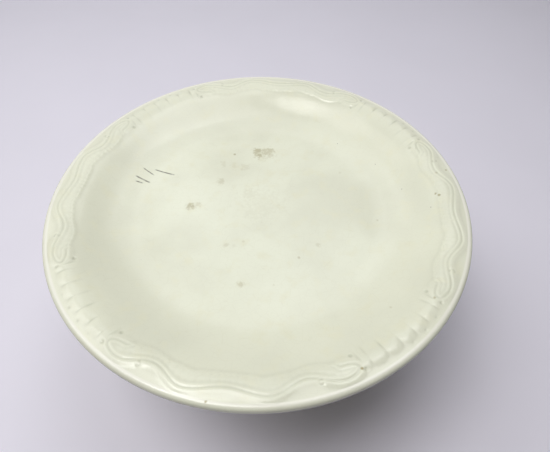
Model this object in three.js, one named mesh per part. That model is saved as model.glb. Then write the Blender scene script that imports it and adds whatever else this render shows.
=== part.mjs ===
// Footed fruit bowl in white glazed earthenware: a shallow dish with a moulded border, luted to a hollow
// pedestal. Millimetres, +Z up. The origin is the middle of the circle that the foot stands on.
import * as THREE from 'three';

// Dish
const RIM_RADIUS = 120;
const TOTAL_HEIGHT = 132;
const WELL_DEPTH = 14;
const WALL_TOE_RUN = 33.5;
const WALL_HEAD_RUN = 19;
const FLOOR_THICKNESS = 5.5;
const WALL_THICKNESS = 4.8;
const LIP_WIDTH = 3.4;
const LIP_THICKNESS = 4.6;
const LIP_DROP = 0.5;
const LIP_SQUARENESS = 3;

// Moulded border, which lies on the head of the well's wall: panels with a double ribbon over a scalloped
// edge, and flutes between the panels
const BORDER_WIDTH = 16;
const RELIEF = 0.9;
const PANELS = 4;
const BORDER_TURN = -8.5;
const PANEL_HALF_ANGLE = 31;
const PANEL_END_ANGLE = 1.6;
const FLUTES_AROUND = 80;
const RIBBON_SPACING = 2.2;
const SCALLOP_STEP = 1.2;
// Where the ribbon's crest and the scalloped edge run from the middle of a panel to its end: degrees, and the
// share of the border's width from the lip, at each crest and hollow of the wave.
const RIBBON_WAVE = [[0, 0.32], [10, 0.14], [18, 0.45], [27, 0.11], [33, 0.3]];
const SCALLOP_WAVE = [[0, 0.75], [5.4, 0.72], [8.4, 0.64], [13.5, 0.71], [20, 0.82], [27, 0.64], [33, 0.72]];

// Seat ring under the dish, which the pedestal's collar fits into
const SEAT_RING_WIDTH = 4.4;
const SEAT_RING_HEIGHT = 3;
const JOINT_GAP = 0.3;

// Pedestal, from the collar down to the foot ring
const COLLAR_RADIUS = 36;
const COLLAR_HEIGHT = 8;
const COLLAR_STEP = 1;
const NECK_HEIGHT = 21;
const NECK_RADIUS = 17.5;
const KNOP_RADIUS = 23;
const KNOP_HEIGHT = 11;
const STEM_HEIGHT = 9;
const BASE_RADIUS = 62;
const BASE_EDGE_HEIGHT = 5;
const BASE_STEP = 2.4;
const EDGE_ROUND = 0.8;
const FOOT_RING_WIDTH = 3.6;
const FOOT_RING_HEIGHT = 2.6;
const PEDESTAL_WALL = 4.8;

// Fillets of slip at the joint, outside and inside the collar
const OUTER_LUTE_SIZE = 3.9;
const INNER_LUTE_SIZE = 4.2;

// Steps that round shapes are made in
const COLUMNS_PER_FLUTE = 4;
const PEDESTAL_COLUMNS = 48;
const WELL_STEPS = 8;
const LIP_STEPS = 6;
const UNDERSIDE_STEPS = 9;
const KNOP_STEPS = 6;
const NECK_STEPS = 6;
const TRUMPET_STEPS = 8;
const FILLET_STEPS = 4;

// Places that follow from these sizes
const borderOuter = RIM_RADIUS - LIP_WIDTH;
const borderInner = borderOuter - BORDER_WIDTH;
const steepestRadius = borderOuter - WALL_HEAD_RUN;
const wellRadius = steepestRadius - WALL_TOE_RUN;
const floorLevel = TOTAL_HEIGHT - WELL_DEPTH;
const underside = floorLevel - FLOOR_THICKNESS;
const seatRingInner = COLLAR_RADIUS + JOINT_GAP;
const seatRingOuter = seatRingInner + SEAT_RING_WIDTH;
const seatRingBottom = underside - SEAT_RING_HEIGHT;
const pedestalTop = underside - JOINT_GAP;
const collarBore = COLLAR_RADIUS - PEDESTAL_WALL;

const smooth = (t) => t * t * (3 - 2 * t);
const mix = (a, b, t) => a + (b - a) * t;
const clamp01 = (t) => Math.min(1, Math.max(0, t));

// A wave through its crests and hollows, with a half cosine from each to the next.
function waveAt(wave, degrees) {
  const last = wave.length - 1;
  let k = 0;
  while (k < last - 1 && degrees > wave[k + 1][0]) k++;
  const [from, here] = wave[k];
  const [to, there] = wave[k + 1];
  const t = clamp01((degrees - from) / (to - from));
  return mix(here, there, (1 - Math.cos(Math.PI * t)) / 2);
}

// Degrees from the middle of the nearest panel, for an angle counted from the middle of the first.
function fromPanel(degrees) {
  const pitch = 360 / PANELS;
  const turned = degrees % pitch;
  return Math.min(turned, pitch - turned);
}

// Share of the well's depth that the wall has risen by at a radius. Its slope grows smoothly over the toe, from
// the flat floor to the steepest place, and dies away smoothly over the head, up to the border's outer edge.
function wallRise(radius) {
  const area = (t) => t ** 3 - t ** 4 / 2;
  const toe = area(clamp01((radius - wellRadius) / WALL_TOE_RUN));
  const head = area(1) - area(clamp01((borderOuter - radius) / WALL_HEAD_RUN));
  return (WALL_TOE_RUN * toe + WALL_HEAD_RUN * head) / ((WALL_TOE_RUN + WALL_HEAD_RUN) * area(1));
}

const surfaceLevel = (radius) => mix(floorLevel, TOTAL_HEIGHT, wallRise(radius));

const ribbon = (degrees) => BORDER_WIDTH * waveAt(RIBBON_WAVE, degrees);
const scallop = (degrees) => BORDER_WIDTH * waveAt(SCALLOP_WAVE, degrees);

// The rings of the border, from the lip inwards: how far from the lip each runs in a panel, and the share of
// the relief that it rises by in a panel and on a flute.
const BORDER_RINGS = [
  { inset: () => 0, panel: 0, flute: 0 },
  { inset: (d) => ribbon(d), panel: 1, flute: 0.7 },
  { inset: (d) => ribbon(d) + RIBBON_SPACING / 2, panel: 0.45, flute: 1 },
  { inset: (d) => ribbon(d) + RIBBON_SPACING, panel: 0.85, flute: 1 },
  { inset: (d) => ribbon(d) + RIBBON_SPACING * 1.5, panel: 0.4, flute: 1 },
  { inset: (d) => scallop(d), panel: 0.55, flute: 0.8 },
  { inset: (d) => scallop(d) + SCALLOP_STEP, panel: 0, flute: 0 },
];

function ringPoint(radius, degrees, level) {
  const angle = THREE.MathUtils.degToRad(BORDER_TURN + degrees);
  return new THREE.Vector3(radius * Math.cos(angle), radius * Math.sin(angle), level);
}

function borderRing(ring, index) {
  const columns = FLUTES_AROUND * COLUMNS_PER_FLUTE;
  const evenInset = (BORDER_WIDTH * index) / (BORDER_RINGS.length - 1);
  const points = [];
  for (let i = 0; i < columns; i++) {
    const degrees = (360 * i) / columns;
    const away = fromPanel(degrees);
    const inFlutes = smooth(clamp01((away - PANEL_HALF_ANGLE) / PANEL_END_ANGLE));
    const radius = borderOuter - mix(ring.inset(away), evenInset, inFlutes);
    const flute = (1 + Math.cos((2 * Math.PI * i) / COLUMNS_PER_FLUTE)) / 2;
    const rise = RELIEF * mix(ring.panel, ring.flute * flute, inFlutes);
    points.push(ringPoint(radius, degrees, surfaceLevel(radius) + rise));
  }
  return points;
}

function plainRing(radius, level) {
  const points = [];
  for (let i = 0; i < FLUTES_AROUND; i++) points.push(ringPoint(radius, (360 * i) / FLUTES_AROUND, level));
  return points;
}

function wellRings() {
  const head = borderInner - SCALLOP_STEP;
  const rings = [];
  for (let k = 0; k <= WELL_STEPS; k++) {
    const radius = mix(wellRadius, head, k / WELL_STEPS);
    rings.push(plainRing(radius, surfaceLevel(radius)));
  }
  return rings;
}

// The lip, as half of a squarish ellipse from its top round to its underside.
function lipRings() {
  const middle = TOTAL_HEIGHT - LIP_DROP - LIP_THICKNESS / 2;
  const squared = (t) => Math.sign(t) * Math.abs(t) ** (2 / LIP_SQUARENESS);
  const rings = [];
  for (let k = 0; k <= LIP_STEPS; k++) {
    const angle = (Math.PI * k) / LIP_STEPS;
    const radius = RIM_RADIUS - (LIP_WIDTH / 2) * (1 - squared(Math.sin(angle)));
    rings.push(plainRing(radius, middle + (LIP_THICKNESS / 2) * squared(Math.cos(angle))));
  }
  return rings;
}

// The underside follows the well's wall from the border's edge down, a wall below it, to the seat ring.
function undersideRings() {
  const shift = WALL_THICKNESS / 2;
  const rings = [];
  for (let k = 0; k <= UNDERSIDE_STEPS; k++) {
    const radius = mix(borderOuter, wellRadius, k / UNDERSIDE_STEPS);
    rings.push(plainRing(radius - shift, mix(underside, TOTAL_HEIGHT - WALL_THICKNESS, wallRise(radius))));
  }
  return [
    ...rings,
    plainRing(seatRingOuter, underside),
    plainRing(seatRingOuter, seatRingBottom),
    plainRing(seatRingInner, seatRingBottom),
    plainRing(seatRingInner, underside),
  ];
}

// Joins rings into one closed skin, from a middle point, over each ring in turn, to a last middle point. A
// ring has as many points as its neighbour, or an even number of times as many.
function skin(first, rings, last) {
  const points = [];
  const faces = [];
  const starts = rings.map((ring) => points.push(...ring) - ring.length);
  const firstIndex = points.push(first) - 1;
  const lastIndex = points.push(last) - 1;
  for (let k = 0; k + 1 < rings.length; k++) {
    const few = Math.min(rings[k].length, rings[k + 1].length);
    const a = rings[k].length / few;
    const b = rings[k + 1].length / few;
    for (let i = 0; i < few; i++) {
      const inner = (j) => starts[k] + ((i * a + j) % rings[k].length);
      const outer = (j) => starts[k + 1] + ((i * b + j) % rings[k + 1].length);
      if (a > b) {
        for (let j = 0; j < a; j++) faces.push(inner(j), outer(j < a / 2 ? 0 : 1), inner(j + 1));
        faces.push(inner(a / 2), outer(0), outer(1));
      } else {
        for (let j = 0; j < b; j++) faces.push(inner(j < b / 2 ? 0 : 1), outer(j), outer(j + 1));
        faces.push(inner(0), outer(Math.ceil(b / 2)), inner(1));
      }
    }
  }
  const end = rings.length - 1;
  for (let i = 0; i < rings[0].length; i++) {
    faces.push(firstIndex, starts[0] + i, starts[0] + ((i + 1) % rings[0].length));
  }
  for (let i = 0; i < rings[end].length; i++) {
    faces.push(lastIndex, starts[end] + ((i + 1) % rings[end].length), starts[end] + i);
  }
  const geometry = new THREE.BufferGeometry().setFromPoints(points);
  geometry.setIndex(faces);
  geometry.computeVertexNormals();
  return geometry;
}

function dishGeometry() {
  const border = BORDER_RINGS.map(borderRing).reverse();
  const rings = [...wellRings(), ...border, ...lipRings(), ...undersideRings()];
  return skin(new THREE.Vector3(0, 0, floorLevel), rings, new THREE.Vector3(0, 0, underside));
}

// A turned piece from a closed profile of [radius, height] points, counter-clockwise.
function turned(profile) {
  const points = profile.map(([radius, height]) => new THREE.Vector2(radius, height));
  points.push(points[0].clone());
  return new THREE.LatheGeometry(points, PEDESTAL_COLUMNS).rotateX(Math.PI / 2);
}

// A run of a profile that leaves its first point upright and arrives upright at its last.
function ogee([r0, z0], [r1, z1]) {
  const run = [];
  for (let k = 0; k <= NECK_STEPS; k++) {
    const t = k / NECK_STEPS;
    run.push([mix(r0, r1, smooth(t)), mix(z0, z1, t)]);
  }
  return run;
}

// A quarter ellipse that leaves its first point level and arrives upright at its last.
function trumpet([r0, z0], [r1, z1]) {
  const run = [];
  for (let k = 0; k <= TRUMPET_STEPS; k++) {
    const angle = (Math.PI / 2) * (k / TRUMPET_STEPS);
    run.push([mix(r0, r1, Math.sin(angle)), mix(z0, z1, 1 - Math.cos(angle))]);
  }
  return run;
}

function knop(foot) {
  const run = [];
  for (let k = 0; k <= KNOP_STEPS; k++) {
    const angle = Math.PI * (k / KNOP_STEPS);
    const radius = NECK_RADIUS + (KNOP_RADIUS - NECK_RADIUS) * Math.sin(angle);
    run.push([radius, foot + (KNOP_HEIGHT / 2) * (1 - Math.cos(angle))]);
  }
  return run;
}

function pedestalGeometry() {
  const collarFoot = pedestalTop - COLLAR_HEIGHT;
  const knopHead = collarFoot - NECK_HEIGHT;
  const knopFoot = knopHead - KNOP_HEIGHT;
  const stemFoot = knopFoot - STEM_HEIGHT;
  const baseTop = BASE_EDGE_HEIGHT + EDGE_ROUND;
  const bore = NECK_RADIUS - PEDESTAL_WALL;
  const hollowRadius = BASE_RADIUS - FOOT_RING_WIDTH - EDGE_ROUND;
  const outside = [
    [BASE_RADIUS - FOOT_RING_WIDTH, 0],
    [BASE_RADIUS - EDGE_ROUND, 0],
    [BASE_RADIUS, EDGE_ROUND],
    [BASE_RADIUS, BASE_EDGE_HEIGHT - EDGE_ROUND],
    [BASE_RADIUS - EDGE_ROUND, BASE_EDGE_HEIGHT],
    [BASE_RADIUS - BASE_STEP, BASE_EDGE_HEIGHT],
    ...trumpet([BASE_RADIUS - BASE_STEP, baseTop], [NECK_RADIUS, stemFoot]),
    ...knop(knopFoot),
    ...ogee([NECK_RADIUS, knopHead + EDGE_ROUND], [COLLAR_RADIUS - COLLAR_STEP, collarFoot]),
    [COLLAR_RADIUS, collarFoot + COLLAR_STEP],
    [COLLAR_RADIUS, pedestalTop],
  ];
  const inside = [
    [collarBore, pedestalTop],
    ...ogee([bore, knopHead + PEDESTAL_WALL / 2], [collarBore, collarFoot + COLLAR_HEIGHT / 2]).reverse(),
    ...trumpet([hollowRadius, FOOT_RING_HEIGHT], [bore, stemFoot - PEDESTAL_WALL]).reverse(),
  ];
  return turned([...outside, ...inside]);
}

// A fillet of slip, of one size both ways, in the corner under the dish: side is 1 outside the collar and -1
// inside it. Its face is wiped hollow, or left round.
function filletGeometry(corner, size, side, hollow) {
  const profile = [corner];
  for (let k = 0; k <= FILLET_STEPS; k++) {
    const angle = (Math.PI / 2) * (k / FILLET_STEPS);
    const across = hollow ? 1 - Math.cos(angle) : Math.sin(angle);
    const down = hollow ? 1 - Math.sin(angle) : Math.cos(angle);
    profile.push([corner[0] + side * size * across, corner[1] - size * down]);
  }
  if (side < 0) profile.reverse();
  return turned(profile);
}

const glaze = { color: 0xe9eddc, roughness: 0.18, metalness: 0 };
const slip = { color: 0xe2e3d0, roughness: 0.3, metalness: 0 };

const bowl = new THREE.Group();
function add(name, geometry, look) {
  const mesh = new THREE.Mesh(geometry, new THREE.MeshStandardMaterial(look));
  mesh.name = name;
  bowl.add(mesh);
}

const outerCorner = [COLLAR_RADIUS + JOINT_GAP, seatRingBottom - JOINT_GAP];
const innerCorner = [collarBore - JOINT_GAP, underside - JOINT_GAP];

add('dish', dishGeometry(), glaze);
add('pedestal', pedestalGeometry(), glaze);
add('outer_lute', filletGeometry(outerCorner, OUTER_LUTE_SIZE, 1, true), slip);
add('inner_lute', filletGeometry(innerCorner, INNER_LUTE_SIZE, -1, false), slip);

export default bowl;
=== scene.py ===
"""Footed fruit bowl in white glazed earthenware: its looks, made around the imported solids.

The file is laid out as an add-on and run as a script. Shapes are worked out in millimetres and stored in
metres.
"""

import math

import bpy
import numpy as np
from mathutils import Matrix
from mathutils import Vector


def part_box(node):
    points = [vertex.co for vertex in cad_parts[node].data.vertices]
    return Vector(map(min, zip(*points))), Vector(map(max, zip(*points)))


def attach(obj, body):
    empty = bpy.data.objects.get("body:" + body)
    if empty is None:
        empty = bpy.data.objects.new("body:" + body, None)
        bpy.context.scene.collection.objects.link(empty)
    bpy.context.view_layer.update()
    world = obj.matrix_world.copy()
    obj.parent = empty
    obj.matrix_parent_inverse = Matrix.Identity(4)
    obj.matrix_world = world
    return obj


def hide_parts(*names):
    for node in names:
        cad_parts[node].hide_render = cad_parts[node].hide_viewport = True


bl_info = {
    "name": "Footed Fruit Bowl",
    "version": (1, 0, 0),
    "blender": (4, 5, 0),
    "location": "3D View > Sidebar > Fruit Bowl",
    "description": "A shallow glazed dish with a moulded border on a hollow pedestal",
    "category": "Add Mesh",
}

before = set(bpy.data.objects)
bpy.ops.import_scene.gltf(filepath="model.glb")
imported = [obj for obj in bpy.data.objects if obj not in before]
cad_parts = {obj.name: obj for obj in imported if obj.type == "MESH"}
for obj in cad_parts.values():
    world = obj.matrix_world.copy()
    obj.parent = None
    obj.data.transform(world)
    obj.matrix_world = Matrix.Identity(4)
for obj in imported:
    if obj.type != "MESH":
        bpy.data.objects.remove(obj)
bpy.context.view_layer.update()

MM = 0.001

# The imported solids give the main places, in millimetres. The dish's moulding stands proud of its rim.
DISH_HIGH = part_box("dish")[1] / MM
FOOT_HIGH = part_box("pedestal")[1] / MM
OUTER_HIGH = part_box("outer_lute")[1] / MM
INNER_LOW, INNER_HIGH = (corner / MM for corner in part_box("inner_lute"))
SOLID_RELIEF = 0.9
RIM_RADIUS = DISH_HIGH.x
RIM_LEVEL = round(DISH_HIGH.z - SOLID_RELIEF, 1)
BASE_RADIUS = FOOT_HIGH.x
COLLAR_TOP = FOOT_HIGH.z

# The dish, as its solid is made
WELL_DEPTH = 14
WALL_TOE_RUN = 33.5
WALL_HEAD_RUN = 19
FLOOR_THICKNESS = 5.5
WALL_THICKNESS = 4.8
LIP_WIDTH = 3.4
LIP_THICKNESS = 4.6
LIP_DROP = 0.5
BORDER_WIDTH = 16
SEAT_RING_WIDTH = 4.4
SEAT_RING_HEIGHT = 3

# The lip's top is rounder than the solid's, over this width, so that light runs along it as a line. A
# squareness of 2 makes an ellipse.
LIP_ROUND = 2.5
LIP_TOP_SQUARENESS = 2.05
LIP_FOOT_SQUARENESS = 3.6
LIP_TOP_RADIUS = RIM_RADIUS - LIP_ROUND

# The pedestal, as its solid is made
JOINT_GAP = 0.3
COLLAR_RADIUS = 36
COLLAR_HEIGHT = 8
COLLAR_STEP = 1
NECK_HEIGHT = 21
NECK_RADIUS = 17.5
KNOP_RADIUS = 23
KNOP_HEIGHT = 11
STEM_HEIGHT = 9
BASE_EDGE_HEIGHT = 5
BASE_STEP = 2.4
LEDGE_LEAN = 0.2
LEDGE_RUN = 4
LEDGE_RISE = 0.3
EDGE_ROUND = 0.8
FOOT_RING_WIDTH = 3.6
FOOT_RING_HEIGHT = 2.6
PEDESTAL_WALL = 4.8

BORDER_OUTER = RIM_RADIUS - LIP_WIDTH
STEEPEST_RADIUS = BORDER_OUTER - WALL_HEAD_RUN
WELL_RADIUS = STEEPEST_RADIUS - WALL_TOE_RUN
FLOOR_LEVEL = RIM_LEVEL - WELL_DEPTH
UNDERSIDE = FLOOR_LEVEL - FLOOR_THICKNESS
SEAT_RING_INNER = COLLAR_RADIUS + JOINT_GAP
SEAT_RING_OUTER = SEAT_RING_INNER + SEAT_RING_WIDTH
LIP_MIDDLE = RIM_LEVEL - LIP_DROP - LIP_THICKNESS / 2

# The rim rolls gently down from here to the lip.
ROLL_START = 110

# The moulding's rings begin this far inside the border, it dies away over this width before the lip, and
# the underside is flat this far to either side of the seat ring.
BORDER_MARGIN = 2
RELIEF_FADE = 1.4
SEAT_MARGIN = 8

# Points round a ring: many where the border is moulded, fewer elsewhere
BORDER_COLUMNS = 1280
PLAIN_COLUMNS = 256
PEDESTAL_COLUMNS = 240
FLOOR_COLUMNS = 96

# The radius of the dish's first ring, the step between the border's rings, and the rows of faces elsewhere
FIRST_RING = 12
BORDER_ROW = 0.37
WELL_ROWS = 5
WALL_ROWS = 29
LIP_ROWS = 24
UNDERSIDE_ROWS = 26


def srgb(hex_code):
    """A colour written as sRGB hex, as the linear numbers that a shader takes."""
    shares = [int(hex_code[i : i + 2], 16) / 255 for i in (0, 2, 4)]
    return tuple(s / 12.92 if s <= 0.04045 else ((s + 0.055) / 1.055) ** 2.4 for s in shares)


class BorderSettings(bpy.types.PropertyGroup):
    """The moulded border of the dish."""

    relief: bpy.props.FloatProperty(
        name="Relief",
        description="Height that the ribbons and flutes are shares of",
        default=0.85 * MM,
        min=0,
        unit="LENGTH",
    )
    panels: bpy.props.IntProperty(
        name="Panels",
        description="Panels with a double ribbon round the rim",
        default=4,
        min=1,
    )
    flutes: bpy.props.IntProperty(
        name="Flutes round the rim",
        description="Flutes that would fill the whole rim; they show between the panels",
        default=80,
        min=20,
    )
    turn: bpy.props.FloatProperty(
        name="Turn",
        description="Where the first panel lies, counter-clockwise from the right",
        default=math.radians(-8.7),
        unit="ROTATION",
    )
    ribbon_spacing: bpy.props.FloatProperty(
        name="Ribbon spacing",
        description="From the crest of the outer ribbon to that of the inner one",
        default=2.3 * MM,
        min=1 * MM,
        unit="LENGTH",
    )


class GlazeSettings(bpy.types.PropertyGroup):
    """The glaze, what age has done to it, and a highlight painted along the lip."""

    colour: bpy.props.FloatVectorProperty(
        name="Glaze",
        description="Colour of the glaze over the clay",
        subtype="COLOR",
        default=srgb("EBECD6"),
    )
    thick: bpy.props.FloatVectorProperty(
        name="Thick glaze",
        description="Colour on the well's floor, where the glaze settled thick and milky",
        subtype="COLOR",
        default=srgb("F0F2DD"),
    )
    # Painted highlight: a paler band along the top of the lip that stands for the line of light running
    # along it.
    painted_highlight: bpy.props.FloatVectorProperty(
        name="Thin glaze",
        description="Colour along the lip, where the glaze runs thin",
        subtype="COLOR",
        default=srgb("F3F2E3"),
    )
    pooled: bpy.props.FloatVectorProperty(
        name="Pooled glaze",
        description="Colour where the glaze lies thick in a hollow",
        subtype="COLOR",
        default=srgb("BFC0A8"),
    )
    stain: bpy.props.FloatVectorProperty(
        name="Stain",
        description="Brown of the stains that have crept under the glaze",
        subtype="COLOR",
        default=srgb("94853C"),
    )
    clay: bpy.props.FloatVectorProperty(
        name="Bare clay",
        description="Fired clay where the foot ring was wiped free of glaze",
        subtype="COLOR",
        default=srgb("CDBFA0"),
    )
    roughness: bpy.props.FloatProperty(
        name="Gloss roughness",
        description="Roughness of the clean glaze",
        default=0.13,
        min=0,
        max=1,
        subtype="FACTOR",
    )
    craze_width: bpy.props.FloatProperty(
        name="Craze cell",
        description="Width of a cell in the net of fine cracks",
        default=4.5 * MM,
        min=1 * MM,
        unit="LENGTH",
    )


class StageSettings(bpy.types.PropertyGroup):
    """The floor, the lamps and the camera."""

    floor: bpy.props.FloatVectorProperty(
        name="Floor",
        description="Colour of the plain floor",
        subtype="COLOR",
        default=srgb("F7F3FF"),
    )
    light: bpy.props.FloatProperty(
        name="Light",
        description="Power of all the lamps together",
        default=12.3,
        min=0,
        unit="POWER",
    )
    sky: bpy.props.FloatProperty(
        name="Fill",
        description="Strength of the even light from all round",
        default=0.04,
        min=0,
    )
    lens: bpy.props.FloatProperty(
        name="Lens",
        description="Focal length on a sensor 36 mm wide",
        default=29.55,
        min=10,
    )


def smooth(t):
    """An ease from 0 to 1."""
    t = np.clip(t, 0, 1)
    return t * t * (3 - 2 * t)


def mix(a, b, t):
    return a + (b - a) * t


def wave(points, place):
    """Half cosines through these points (place, value)."""
    result = np.full_like(place, points[-1][1], dtype=float)
    for (start, here), (end, there) in reversed(list(zip(points, points[1:]))):
        t = np.clip((place - start) / (end - start), 0, 1)
        result = np.where(place <= end, mix(here, there, (1 - np.cos(np.pi * t)) / 2), result)
    return result


def bump(distance, width):
    """A soft ridge's height over its middle, from 1 to 0."""
    return np.exp(-((distance / width) ** 2))


def squared(t, squareness):
    """Turns a sine or cosine of a circle into that of a squarish ellipse."""
    return np.sign(t) * np.abs(t) ** (2 / squareness)


# Degrees from the middle of a panel, and the share of the border's width from its outer edge, at each crest
# and hollow of the ribbon and of the scalloped edge
RIBBON_WAVE = [(0, 0.31), (10, 0.1), (18, 0.43), (27, 0.08)]
SCALLOP_WAVE = [(0, 0.75), (5.4, 0.72), (8.4, 0.64), (13.5, 0.71), (20, 0.82), (27, 0.64)]
PANEL_SHOULDER = 27
PANEL_END = 31.4
LINE_RADIUS = 110
LINE_POINTS = 180
END_POINTS = 60

# Across the double ribbon, in shares of the ribbon spacing inwards from its crest, with the share of the
# relief at each crest and hollow. Its outer slope and the scalloped edge are this wide, in millimetres.
RIBBON_SECTION = [(0, 0.46), (0.52, 0.12), (1, 0.33), (1.48, 0.13), (2.2, 0.22)]
RIBBON_OUTER_SLOPE = 1.8
SCALLOP_WIDTH = 0.95
SCALLOP_HEIGHT = 0.36

# Beads along the scalloped edge, with pleats between it and the ribbon. Their pitch drifts a little, and
# they fade in places, as from a worn mould. Rates are in radians for each millimetre along the edge.
BEAD_PITCH = 3.3
BEAD_SHARE = 0.25
PLEAT_HEIGHT = 0.025
DRIFT = 1.4
DRIFT_RATE = 0.37
FADED = 0.35
FADE_RATE = 0.13
FADE_START = 1.2

# Small hollows beside a panel's round end and the curl where two scrolls meet, placed as the waves are
PIT_PLACES = [(31.7, 0.21), (30.3, 0.75)]
PIT_RADIUS = 0.8
PIT_DEPTH = 0.45
CURL_PLACE = (21.3, 0.3)
CURL_RADIUS = 1.1
CURL_WIDTH = 0.5
CURL_DEPTH = 0.3

# Flutes, in shares of the border's width and of the relief, from this angle from the middle of a panel on
FLUTE_START = 31.55
FLUTE_EASE = 0.5
FLUTE_HEAD = 0.06
FLUTE_HEAD_RUN = 0.3
FLUTE_ARCH = 0.12
FLUTE_FOOT = 1.02
FLUTE_FOOT_RUN = 0.7
FLUTE_HEIGHT = 0.6
LOBE_ROUNDING = 0.6
EYE_SHARE = 0.1
EYE_RADIUS = 0.55
EYE_DEPTH = 0.22

# What wear has left of each groove: a little all along it, and a short run that wanders up and down from
# groove to groove
GROOVE_LEFT = 0.15
GROOVE_RUN = 3.2
GROOVE_MIDDLE = 0.5
GROOVE_WANDER = 0.33
WANDER_RATE = 1.05
WANDER_START = 49

# The mean share worn off, its swing from flute to flute in radians, and where, in flutes, nothing is worn
GROOVE_WEAR = (0.35, 1.1, 50.3)
EYE_WEAR = (0.5, 1.2, 50.5)

# Wear leaves the moulding higher or lower by up to this share, after two waves round the rim. Each has its
# number of crests and its start, in radians.
BORDER_WEAR = 0.14
WEAR_SWINGS = [(3, 0.7), (5, 2.1)]


def along(degrees):
    """Millimetres along the border for an angle from the middle of a panel."""
    return np.radians(degrees) * LINE_RADIUS


END_REACH = along(PANEL_END) - along(PANEL_SHOULDER)


def radius_at(share):
    """The radius at a share of the border's width from its outer edge."""
    return BORDER_OUTER - BORDER_WIDTH * share


def panel_lines():
    """The ribbon with the panel's round end, and the scalloped edge, as points (along, radius)."""
    degrees = np.linspace(0, PANEL_SHOULDER, LINE_POINTS)
    ribbon = np.stack([along(degrees), radius_at(wave(RIBBON_WAVE, degrees))], 1)
    scallop = np.stack([along(degrees), radius_at(wave(SCALLOP_WAVE, degrees))], 1)
    head, foot = ribbon[-1, 1], scallop[-1, 1]
    turn = np.linspace(0, np.pi, END_POINTS)
    middle, half = (head + foot) / 2, (head - foot) / 2
    end = np.stack([ribbon[-1, 0] + END_REACH * np.sin(turn), middle + half * np.cos(turn)], 1)
    return np.concatenate([ribbon, end]), scallop


def to_line(x, y, line):
    """The distance of each point from a line of points, and how far along the line the nearest one lies."""
    steps = np.linalg.norm(np.diff(line, axis=0), axis=1)
    run = np.concatenate([[0], np.cumsum(steps)])
    nearest = np.full(x.shape, np.inf)
    where = np.zeros(x.shape)
    for (px, py), s in zip(line, run):
        away = np.hypot(x - px, y - py)
        closer = away < nearest
        nearest = np.where(closer, away, nearest)
        where = np.where(closer, s, where)
    return nearest, where


def panel_relief(x, radius, away, spacing):
    """Share of the relief in a panel. From its middle, x is in millimetres and away in degrees."""
    ribbon, scallop = panel_lines()
    from_ribbon, _ = to_line(x, radius, ribbon)
    from_scallop, run = to_line(x, radius, scallop)
    head = radius_at(wave(RIBBON_WAVE, away))
    foot = radius_at(wave(SCALLOP_WAVE, away))
    past = (x - along(PANEL_SHOULDER)) / END_REACH
    in_end = past**2 + ((radius - (head + foot) / 2) / ((head - foot) / 2)) ** 2 < 1
    inside = np.where(away <= PANEL_SHOULDER, (radius < head) & (radius > foot), in_end)
    outer = RIBBON_SECTION[0][1] * bump(from_ribbon, RIBBON_OUTER_SLOPE)
    inner = wave(RIBBON_SECTION, from_ribbon / spacing)
    fading = FADED + (1 - FADED) * np.sin(FADE_RATE * run + FADE_START) ** 2
    pleat = fading * np.cos(2 * np.pi * run / BEAD_PITCH + DRIFT * np.sin(DRIFT_RATE * run))
    past_ribbon = smooth(from_ribbon / spacing - 1)
    field = (inner + PLEAT_HEIGHT * pleat * past_ribbon) * smooth(from_scallop / SCALLOP_WIDTH)
    bead = 1 - BEAD_SHARE + BEAD_SHARE * pleat
    edge = SCALLOP_HEIGHT * bead * bump(from_scallop, SCALLOP_WIDTH)
    return np.maximum(np.where(inside, field, outer), edge)


def left_of(flute, wear):
    """The share that wear has left of a feature on each flute."""
    worn_off, rate, whole = wear
    return 1 - worn_off + worn_off * np.cos(rate * (flute - whole))


def flute_relief(radius, away, pitch, half_turn, turned):
    """Share of the relief on the flutes: round lobes between narrow grooves, which are worn nearly flat but
    for a short run of each, and a small eye in each head."""
    across = (half_turn - away) / pitch + 0.5
    groove = np.round(turned / pitch - 0.5)
    wander = GROOVE_WANDER * np.cos(WANDER_RATE * (groove - WANDER_START))
    deepest = radius_at(GROOVE_MIDDLE + wander)
    run = left_of(groove, GROOVE_WEAR) * bump(radius - deepest, GROOVE_RUN)
    deep = GROOVE_LEFT + (1 - GROOVE_LEFT) * run
    lobe = 1 - deep * (1 - np.abs(np.sin(np.pi * across)) ** LOBE_ROUNDING)
    share = (BORDER_OUTER - radius) / BORDER_WIDTH
    off_middle = (across % 1) - 0.5
    head = FLUTE_HEAD + FLUTE_ARCH * (1 - np.sqrt(np.clip(1 - (2 * off_middle) ** 2, 0, 1)))
    window = smooth((share - head) / FLUTE_HEAD_RUN) * smooth((FLUTE_FOOT - share) / FLUTE_FOOT_RUN)
    start = smooth((away - FLUTE_START) / FLUTE_EASE)
    from_eye = np.hypot(along(off_middle * pitch), radius - radius_at(EYE_SHARE))
    eye = EYE_DEPTH * left_of(np.round(turned / pitch), EYE_WEAR) * bump(from_eye, EYE_RADIUS)
    return start * (FLUTE_HEIGHT * lobe * window - eye)


def hollows(x, radius):
    """Share of the relief cut away by the pits beside a panel's end and by the curl between its scrolls."""
    deep = np.zeros(x.shape)
    for degrees, share in PIT_PLACES:
        from_pit = np.hypot(x - along(degrees), radius - radius_at(share))
        deep = np.maximum(deep, PIT_DEPTH * bump(from_pit, PIT_RADIUS))
    curl_x = along(CURL_PLACE[0])
    from_curl = np.hypot(x - curl_x, radius - radius_at(CURL_PLACE[1]))
    open_side = smooth((curl_x + CURL_RADIUS - x) / CURL_RADIUS)
    return np.maximum(deep, CURL_DEPTH * bump(from_curl - CURL_RADIUS, CURL_WIDTH) * open_side)


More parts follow.
